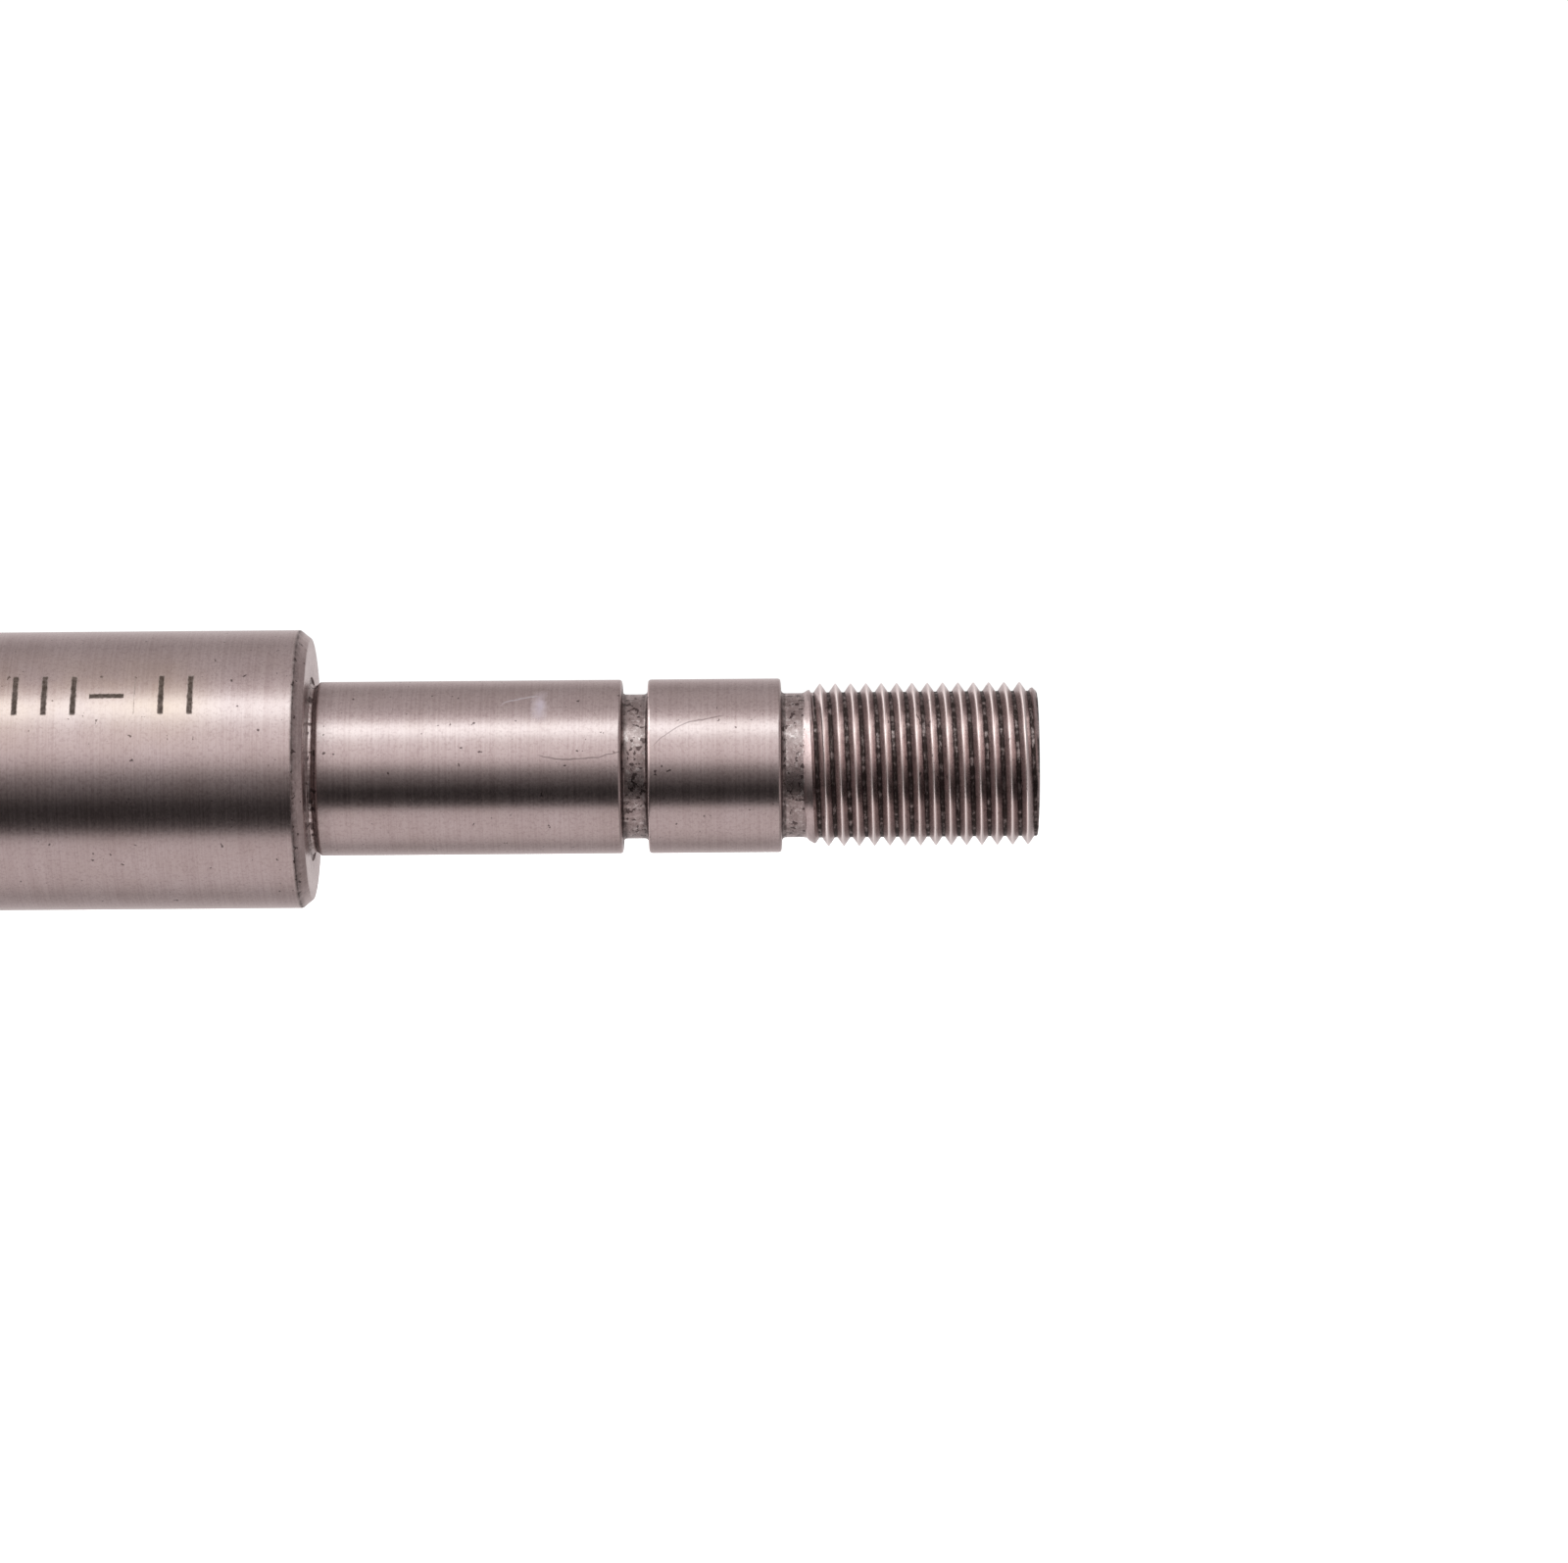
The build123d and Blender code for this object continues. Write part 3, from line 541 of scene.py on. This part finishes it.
def handling_marks(n, base):
    """A dried smear and three fine scratches on the seats."""
    x, z, front = millimetres(n)
    facing = n.math("GREATER_THAN", front, 0.0)
    wobble = n.math("MULTIPLY", n.math("SUBTRACT", n.noise(700, 4.0, 0.6), 0.5), 1.4)
    smear = all_of(
        n, facing,
        within(n, n.math("ADD", x, wobble), 22.5, 0.1, 0.8),
        within(n, n.math("ADD", z, wobble), 5.9, 0.2, 1.4),
    )
    base = n.mix(n.math("MULTIPLY", smear, 0.5), base, (0.56, 0.51, 0.62, 1))
    # each scratch's start and end in x, its height at the middle, slope, bend and colour
    for x0, x1, z_mid, slope, bend, tone in (
        (19.2, 21.9, 6.6, 0.22, -0.08, (0.92, 0.88, 0.95, 1)),
        (22.8, 30.1, 0.75, 0.05, 0.035, (0.12, 0.085, 0.085, 1)),
        (33.9, 39.9, 4.1, 0.40, -0.06, (0.14, 0.10, 0.10, 1)),
    ):
        middle, half = (x0 + x1) / 2, (x1 - x0) / 2
        u = n.math("SUBTRACT", x, middle)
        line = n.math("ADD", n.math("MULTIPLY", u, slope), z_mid)
        line = n.math("ADD", line, n.math("MULTIPLY", n.math("MULTIPLY", u, u), bend))
        sway = n.math("SUBTRACT", n.noise(420, 2.0, 0.5), 0.5)
        line = n.math("ADD", line, n.math("MULTIPLY", sway, 0.9))
        mask = all_of(
            n, facing, within(n, x, middle, half, 0.6),
            within(n, n.math("SUBTRACT", z, line), 0.0, 0.02, 0.07),
        )
        base = n.mix(n.math("MULTIPLY", mask, 0.55), base, tone)
    return base, smear


def laser_mark(n, base):
    """A plain row of burnt ticks, with two dashes in it and a straw tint round it."""
    spacing, row_height, left, right = 2.8, 7.6, -38.6, -9.1
    dashes = (-18.8, -32.8)
    x, z, front = millimetres(n)
    up = n.math("MULTIPLY", n.math("ARCTAN2", z, front), LAND_R)
    facing = n.math("GREATER_THAN", front, 0.0)
    on_land = n.math("MULTIPLY", n.math("LESS_THAN", x, right), n.math("GREATER_THAN", x, left))
    jitter = n.math("MULTIPLY", n.math("SUBTRACT", n.noise(2600, 2.0, 0.5), 0.5), 0.22)
    shaky = n.math("ADD", up, jitter)
    # the ticks stand in equal cells, counted from a multiple of the spacing left of the screw
    cell = n.math("FRACT", n.math("DIVIDE", n.math("ADD", x, 99.0), spacing))
    across_tick = n.math("MULTIPLY", n.math("SUBTRACT", cell, 0.5), spacing)
    tick = all_of(
        n, within(n, n.math("ADD", across_tick, jitter), 0.0, 0.19, 0.14),
        within(n, shaky, row_height + 0.1, 2.1, 0.2),
    )
    gaps = n.math("MAXIMUM", *(within(n, x, place, 2.6, 0.1) for place in dashes))
    strokes = n.math("MAXIMUM", *(within(n, x, place, 1.6, 0.1) for place in dashes))
    dash = n.math("MULTIPLY", within(n, shaky, row_height - 0.1, 0.17, 0.14), strokes)
    drawn = all_of(n, n.mix(gaps, tick, dash), on_land, facing)
    tint = all_of(n, within(n, up, row_height, 1.2, 5.5), within(n, x, -23.8, 10.5, 6.0), facing)
    patchy = n.ramp(n.noise(130, 4.0, 0.6), [(0.3, 0.1), (0.7, 0.6)])
    base = n.mix(n.math("MULTIPLY", tint, patchy), base, (0.60, 0.475, 0.37, 1))
    soot = n.ramp(n.noise(2200, 3.0, 0.7), [(0.3, 0.75), (0.6, 1.0)])
    burnt = n.math("MULTIPLY", drawn, soot)
    return n.mix(burnt, base, (0.045, 0.022, 0.010, 1)), burnt


def machined(name, tone, dark, rough, stretch, smudge=0.25):
    """Turned, drawn or plated metal: lines one way, clouds of oil and small dark specks."""
    n = Nodes(name)
    lines = n.noise(1.0, 3.0, 0.6, stretch)
    cloud = n.noise(120, 5.0, 0.6)
    speck = n.noise(1400, 3.0, 0.6)
    base = n.mix(n.ramp(cloud, [(0.35, smudge), (0.65, 0.0)]), (*tone, 1), (*dark, 1))
    base = n.mix(n.ramp(lines, [(0.35, 0.28), (0.6, 0.0)]), base, (*dark, 1))
    black = tuple(v * 0.3 for v in dark) + (1,)
    base = n.mix(n.ramp(speck, [(0.68, 0.0), (0.74, 0.7)]), base, black)
    value = n.math("ADD", n.math("MULTIPLY", lines, 0.14), rough)
    value = n.math("ADD", value, n.math("MULTIPLY", cloud, 0.10))
    n.link(base, n.shader.inputs["Base Color"])
    n.link(value, n.shader.inputs["Roughness"])
    n.shader.inputs["Metallic"].default_value = 1.0
    n.link(n.bump(lines, 0.18, 0.00001, n.bump(speck, 0.08, 0.00001)), n.shader.inputs["Normal"])
    return n.material


def coated(name, tone, worn, rough):
    """A dark conversion coating, rubbed lighter in places."""
    n = Nodes(name)
    cloud = n.noise(420, 5.0, 0.65)
    grain = n.noise(3600, 2.0, 0.6)
    base = n.mix(n.ramp(cloud, [(0.52, 0.0), (0.74, 0.8)]), (*tone, 1), (*worn, 1))
    black = tuple(v * 0.45 for v in tone) + (1,)
    base = n.mix(n.ramp(grain, [(0.35, 0.4), (0.55, 0.0)]), base, black)
    n.link(base, n.shader.inputs["Base Color"])
    n.link(n.math("ADD", n.math("MULTIPLY", grain, 0.2), rough), n.shader.inputs["Roughness"])
    n.shader.inputs["Metallic"].default_value = 0.85
    n.link(n.bump(grain, 0.25, 0.00002), n.shader.inputs["Normal"])
    return n.material


def acetal():
    """Natural acetal, a little translucent, with turning lines, yellowed clouds and grey patches.
    """
    n = Nodes("wiper_plastic")
    lines = n.noise(900, 3.0, 0.6)
    cloud = n.noise(160, 4.0, 0.6)
    ivory, aged = (0.86, 0.84, 0.77, 1), (0.62, 0.56, 0.44, 1)
    base = n.mix(n.ramp(cloud, [(0.35, 0.0), (0.75, 0.45)]), ivory, aged)
    base = n.mix(n.ramp(lines, [(0.3, 0.25), (0.5, 0.0)]), base, (0.50, 0.47, 0.40, 1))
    n.link(base, n.shader.inputs["Base Color"])
    n.link(n.math("ADD", n.math("MULTIPLY", lines, 0.15), 0.36), n.shader.inputs["Roughness"])
    n.shader.inputs["Subsurface Weight"].default_value = 0.1
    n.shader.inputs["Subsurface Scale"].default_value = 0.001
    n.link(n.bump(lines, 0.15, 0.00002), n.shader.inputs["Normal"])
    return n.material


# ---------------------------------------------------------------- the nut's body
NUT_REAR, NUT_FRONT = nut_low[0] / MM, nut_high[0] / MM
FLANGE_REAR = NUT_FRONT - 14.0
PILOT_REAR = FLANGE_REAR - 9.0
BARREL_R, PILOT_R, FLANGE_R, PILOT_RELIEF = 27.0, 27.5, 42.5, 0.25
BORE_R, WIPER_R, RING_SLOT_R = 14.4, 17.2, 18.6
FLAT_Z, FLAT_LENGTH = 20.3, 52.5
PORT_X = NUT_FRONT - 9.0
BOLTS, BOLT_CIRCLE_R = 6, 34.5
# a stepped drill's depths, each with its radius: a bolt's counterbored hole and a grease port
BOLT_STEPS = [(-15, 3.6), (-14, 3.6), (-13.7, 3.3), (-6.5, 3.3)]
BOLT_STEPS += [(-6.5, 5.5), (-0.35, 5.5), (0, 5.85), (1, 5.85)]
PORT_STEPS = [(30, 1.5), (36, 1.5), (36, 3.0), (41.6, 3.0), (41.9, 3.3), (41.9, 5.2), (45, 5.2)]
CIRCUIT_STARTS, CIRCUIT_LENGTH = (-171.0, -153.0), 2.5 * LEAD
TUBE_TOP, TUBE_FOOT, TUBE_BEND_R, TUBE_HOLE_R = 22.95, 12.0, 6.5, 2.65


def broken_edge(x, r, along, order=1):
    """Rows round a chamfer from the face at x to the wall at r, or back with an order of -1.

    along is 1 where the wall runs towards larger x, and -1 where it runs towards smaller.
    """
    chamfer = ((0, 0.9), (0.06, 0.74), (0.74, 0.06), (0.9, 0))
    return [(x + along * run, r - drop) for run, drop in chamfer][::order]


def nut_sleeve():
    """The turned nut, with a plain bore where its ball groove is hidden."""
    t = Turned(NUT_AROUND)
    t.ring(NUT_REAR, WIPER_R + 0.3)
    t.profile(broken_edge(NUT_REAR, BARREL_R, 1))
    t.profile([(PILOT_REAR, BARREL_R), (PILOT_REAR + 0.5, PILOT_R)])
    t.profile([(FLANGE_REAR - 0.5, PILOT_R), (FLANGE_REAR - 0.45, PILOT_R - PILOT_RELIEF)])
    t.ring(FLANGE_REAR, PILOT_R - PILOT_RELIEF)
    t.profile(broken_edge(FLANGE_REAR, FLANGE_R, 1))
    t.profile(broken_edge(NUT_FRONT, FLANGE_R, -1, order=-1))
    # a lead-in, the snap ring's slot and the wiper's seat, at each end of the bore
    end_rows = [(0, WIPER_R + 0.3), (0.3, WIPER_R), (1.0, WIPER_R), (1.0, RING_SLOT_R)]
    end_rows += [(2.4, RING_SLOT_R), (2.4, WIPER_R), (7.0, WIPER_R), (7.0, BORE_R)]
    t.profile([(NUT_FRONT - depth, r) for depth, r in end_rows])
    t.profile([(NUT_REAR + depth, r) for depth, r in end_rows[:0:-1]])
    t.bridge(t.last + t.last[:1], t.first + t.first[:1])
    return t.piece("nut_body_turned", TURNED_SHARP)


def drill(depths, place, direction):
    """A cutter shaped like a stepped drill, from depths along direction and their radii, in mm."""
    t = Turned(DRILL_AROUND)
    t.profile(depths)
    t.pole(depths[-1][0])
    t.pole(depths[0][0], closing=False)
    cutter = t.piece("cutter")
    turn = Vector((1, 0, 0)).rotation_difference(Vector(direction)).to_matrix().to_4x4()
    cutter.data.transform(Matrix.Translation(Vector(place) * MM) @ turn)
    return cutter


def block(low, high):
    """A box between two corners, in mm."""
    data = bmesh.new()
    bmesh.ops.create_cube(data, size=1.0)
    mesh = mesh_of("cutter", data)
    size, middle = Vector(high) - Vector(low), (Vector(high) + Vector(low)) / 2
    mesh.transform(Matrix.Translation(middle * MM) @ Matrix.Diagonal((*(size * MM), 1)))
    return placed("cutter", mesh)


def filleted(points, radius, steps=12):
    """The points of a path whose corners are rounded."""
    path = [points[0]]
    for before, corner, after in zip(points, points[1:], points[2:]):
        u, v = (before - corner).normalized(), (after - corner).normalized()
        half = acos(max(-1, min(1, u.dot(v)))) / 2
        centre = corner + (u + v).normalized() * radius / sin(half)
        start = corner + u * radius / tan(half)
        end = corner + v * radius / tan(half)
        a, b = start - centre, end - centre
        sweep = a.angle(b)
        for i in range(steps + 1):
            k = i / steps
            path.append(centre + (a * sin((1 - k) * sweep) + b * sin(k * sweep)) / sin(sweep))
    return path + [points[-1]]


def rod(path, radius, name="cutter", around=BAR_AROUND):
    """A solid round bar along a path, in mm."""
    data = bmesh.new()
    rows = []
    side = None
    for i, point in enumerate(path):
        along = (path[min(i + 1, len(path) - 1)] - path[max(i - 1, 0)]).normalized()
        if side is None:
            side = along.orthogonal().normalized()
        side = (side - along * side.dot(along)).normalized()
        other = along.cross(side)
        rows.append([
            data.verts.new((point + (side * cos(t) + other * sin(t)) * radius) * MM)
            for t in (2 * pi * j / around for j in range(around))
        ])
    for low, high in zip(rows, rows[1:]):
        for j in range(around):
            k = (j + 1) % around
            data.faces.new((low[j], low[k], high[k], high[j]))
    data.faces.new(rows[0][::-1])
    data.faces.new(rows[-1])
    obj = placed(name, mesh_of(name, data))
    tidy(obj)
    return obj


def tube_route(start):
    """A return tube's centre line in its hole, from one leg to the other."""
    rise = LEAD / (2 * pi * BALL_CIRCLE_R)
    end = start + CIRCUIT_LENGTH
    corners = [
        (end + TUBE_FOOT * rise, BALL_CIRCLE_R, TUBE_FOOT),
        (end + TUBE_TOP * rise, BALL_CIRCLE_R, TUBE_TOP),
        (start - TUBE_TOP * rise, -BALL_CIRCLE_R, TUBE_TOP),
        (start - TUBE_FOOT * rise, -BALL_CIRCLE_R, TUBE_FOOT),
    ]
    return filleted([Vector(c) for c in corners], TUBE_BEND_R)


def cut(obj, cutter):
    """Takes the cutter out of obj, and throws the cutter away."""
    modifier = obj.modifiers.new("cut", "BOOLEAN")
    modifier.operation, modifier.solver, modifier.object = "DIFFERENCE", "EXACT", cutter
    bpy.context.view_layer.objects.active = obj
    bpy.ops.object.modifier_apply(modifier=modifier.name)
    bpy.data.objects.remove(cutter)


def nut_body():
    nut = nut_sleeve()
    for k in range(BOLTS):
        angle = 2 * pi * k / BOLTS
        place = (NUT_FRONT, BOLT_CIRCLE_R * cos(angle), BOLT_CIRCLE_R * sin(angle))
        cut(nut, drill(BOLT_STEPS, place, (1, 0, 0)))
    for side in (1, -1):
        cut(nut, drill(PORT_STEPS, (PORT_X, 0, 0), (0, 0, side)))
    end, side, top = 10, 40, 45
    cut(nut, block((NUT_REAR - end, -side, FLAT_Z), (NUT_REAR + FLAT_LENGTH, side, top)))
    for start in CIRCUIT_STARTS:
        cut(nut, rod(tube_route(start), TUBE_HOLE_R))
    tidy(nut, TURNED_SHARP)
    return nut


# ---------------------------------------------------------------- the nipple's spring
SPRING_WIRE_R, SPRING_TURNS, CLOSE_PITCH = 0.16, 9, 0.345


def coil_spring():
    """The check ball's spring: open turns between two close end coils."""
    low, high = spring_low / MM, spring_high / MM
    steps = 24
    coil_r = (high[0] - low[0]) / 2 - SPRING_WIRE_R
    open_turns = SPRING_TURNS - 2
    pitch = (high[2] - low[2] - 2 * SPRING_WIRE_R - 2 * CLOSE_PITCH) / open_turns
    path = []
    for i in range(SPRING_TURNS * steps + 1):
        turn = i / steps
        rise = min(turn, 1) * CLOSE_PITCH + min(max(turn - 1, 0), open_turns) * pitch
        rise += max(turn - SPRING_TURNS + 1, 0) * CLOSE_PITCH
        x, y = PORT_X + coil_r * cos(2 * pi * turn), coil_r * sin(2 * pi * turn)
        path.append(Vector((x, y, low[2] + SPRING_WIRE_R + rise)))
    # a hair thinner than its radius says, so that it stays in the CAD's box
    return rod(path, SPRING_WIRE_R * 0.995, "nipple_spring_coiled", WIRE_AROUND)


# ---------------------------------------------------------------- pieces and their materials
finish_of = {entry["node"]: entry["material_slot"] for entry in frame["record"]["subparts"]}
materials = {
    "ground_steel": ground_steel(),
    "nut_steel": machined(
        "nut_steel", (0.59, 0.56, 0.555), (0.30, 0.275, 0.265), 0.17, (3600, 60, 60)),
    "tube_steel": machined(
        "tube_steel", (0.72, 0.71, 0.70), (0.44, 0.42, 0.41), 0.14, (700, 60, 700)),
    "ball_steel": machined(
        "ball_steel", (0.78, 0.78, 0.79), (0.62, 0.62, 0.63), 0.03, (300, 300, 300), 0.15),
    "black_oxide": coated("black_oxide", (0.055, 0.052, 0.055), (0.16, 0.15, 0.15), 0.30),
    "spring_steel": coated("spring_steel", (0.16, 0.155, 0.165), (0.36, 0.35, 0.35), 0.26),
    "zinc_steel": machined(
        "zinc_steel", (0.66, 0.67, 0.70), (0.42, 0.43, 0.47), 0.28, (260, 1200, 260)),
    "wiper_plastic": acetal(),
}
pieces = {
    "screw_shaft": (screw_shaft(), "screw"),
    "nut_body": (nut_body(), "nut"),
    "nipple_spring": (coil_spring(), "nut"),
}
for node, (piece, body) in pieces.items():
    piece.data.materials.clear()
    piece.data.materials.append(materials[finish_of[node]])
    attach(piece, body)
    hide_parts(node)
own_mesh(pieces["nipple_spring"][0])
for node, obj in frame["nodes"].items():
    if node not in pieces:
        obj.data.materials.clear()
        obj.data.materials.append(materials[finish_of[node]])


# ---------------------------------------------------------------- light, floor and camera
def studio():
    """A soft white room that the camera sees as plain white.

    It has the light and dark bands that polished steel mirrors, by their elevation.
    """
    world = bpy.data.worlds.new("studio")
    bpy.context.scene.world = world
    world.use_nodes = True
    world.node_tree.nodes.clear()
    add, link = world.node_tree.nodes.new, world.node_tree.links.new

    def banded(stops):
        """The room's colour from stops of elevation in degrees, brightness and coolness."""
        ramp = add("ShaderNodeValToRGB")
        elements = ramp.color_ramp.elements
        while len(elements) < len(stops):
            elements.new(0.5)
        for element, (elevation, level, cool) in zip(elements, stops):
            element.position = (sin(radians(elevation)) + 1) / 2
            blue = level * (1 + cool) * 0.48
            element.color = (level * 0.52, blue, blue, 1)
        link(height.outputs["Result"], ramp.inputs["Fac"])
        return ramp.outputs["Color"]

    def eased(source, low, high):
        """From 0 to 1, or between its own To values, as source goes from low to high."""
        node = add("ShaderNodeMapRange")
        node.interpolation_type = "SMOOTHSTEP"
        node.inputs["From Min"].default_value, node.inputs["From Max"].default_value = low, high
        link(source, node.inputs["Value"])
        return node

    def blended(factor, a):
        """A mix of colours from a, whose other colour is still to be set."""
        node = add("ShaderNodeMix")
        node.data_type = "RGBA"
        link(factor, node.inputs[0])
        link(a, node.inputs[6])
        return node

    where = add("ShaderNodeTexCoord")
    split = add("ShaderNodeSeparateXYZ")
    link(where.outputs["Generated"], split.inputs[0])
    height = add("ShaderNodeMapRange")
    height.inputs["From Min"].default_value = -1.0
    link(split.outputs["Z"], height.inputs["Value"])
    front = banded([
        (-90, 0.68, 0), (-60, 0.66, 0), (-55, 0.40, 0), (-50, 0.08, 0), (-40, 0.03, 0),
        (-28, 0.03, 0), (-20, 0.10, 0), (-10, 0.19, 0), (-2, 0.34, 0), (6, 0.66, 0),
        (16, 0.90, 0.02), (32, 0.98, 0.03), (40, 1.15, 0.08), (47, 1.60, 0.14),
        (57, 1.70, 0.14), (62, 1.15, 0.06), (69, 0.74, 0), (90, 0.52, 0),
    ])
    back = banded([
        (-90, 0.68, 0), (-70, 0.58, 0), (-55, 0.40, 0), (-30, 0.55, 0), (0, 0.8, 0),
        (30, 0.60, 0), (56, 0.40, 0), (90, 0.52, 0),
    ])
    facing = add("ShaderNodeMath")
    facing.operation = "LESS_THAN"
    facing.inputs[1].default_value = 0.0
    link(split.outputs["Y"], facing.inputs[0])
    room = blended(facing.outputs[0], back)
    link(front, room.inputs[7])
    # one grey far to the right, and more light far to the left, which the thread's flanks show
    sides = blended(eased(split.outputs["X"], 0.2, 0.65).outputs["Result"], room.outputs[2])
    sides.inputs[7].default_value = (0.20, 0.18, 0.18, 1)
    strength = eased(split.outputs["X"], -0.9, -0.25)
    strength.inputs["To Min"].default_value, strength.inputs["To Max"].default_value = 4.2, 2.0
    lit = add("ShaderNodeBackground")
    link(strength.outputs["Result"], lit.inputs["Strength"])
    link(sides.outputs[2], lit.inputs["Color"])
    white = add("ShaderNodeBackground")
    white.inputs["Color"].default_value = (1, 1, 1, 1)
    white.inputs["Strength"].default_value = 1.05
    path = add("ShaderNodeLightPath")
    choose = add("ShaderNodeMixShader")
    link(path.outputs["Is Camera Ray"], choose.inputs[0])
    link(lit.outputs[0], choose.inputs[1])
    link(white.outputs[0], choose.inputs[2])
    out = add("ShaderNodeOutputWorld")
    link(choose.outputs[0], out.inputs["Surface"])


def floor_sheet():
    """A pale floor, below the part and wider than any view."""
    size, level, tone, glow = 20.0, -0.1, (0.9, 0.9, 0.9, 1), 0.55
    data = bmesh.new()
    bmesh.ops.create_grid(data, x_segments=1, y_segments=1, size=size)
    mesh = mesh_of("floor", data)
    obj = placed("floor", mesh)
    obj.location = (0, 0, level)
    n = Nodes("floor_white")
    n.shader.inputs["Base Color"].default_value = tone
    n.shader.inputs["Roughness"].default_value = 1.0
    n.shader.inputs["Specular IOR Level"].default_value = 0.0
    n.shader.inputs["Emission Color"].default_value = (1, 1, 1, 1)
    n.shader.inputs["Emission Strength"].default_value = glow
    mesh.materials.append(n.material)
    obj.visible_glossy = False
    obj.visible_diffuse = False


def camera():
    """Square to the screw, level with its fixed end, and rolled by half a degree."""
    distance, field, roll, sensor = 0.58, 0.1534, radians(0.46), 36.0
    data = bpy.data.cameras.new("camera")
    data.sensor_width = sensor
    data.lens = sensor * distance / field
    data.clip_start, data.clip_end = 0.01, 100.0
    obj = placed("camera", data)
    turn = Matrix.Rotation(roll, 4, "Y") @ Matrix.Rotation(radians(90), 4, "X")
    obj.matrix_world = Matrix.Translation(Vector((0.0461, -distance, -0.00159))) @ turn
    bpy.context.scene.camera = obj


studio()
floor_sheet()
camera()
bpy.context.scene.view_settings.view_transform = "Standard"
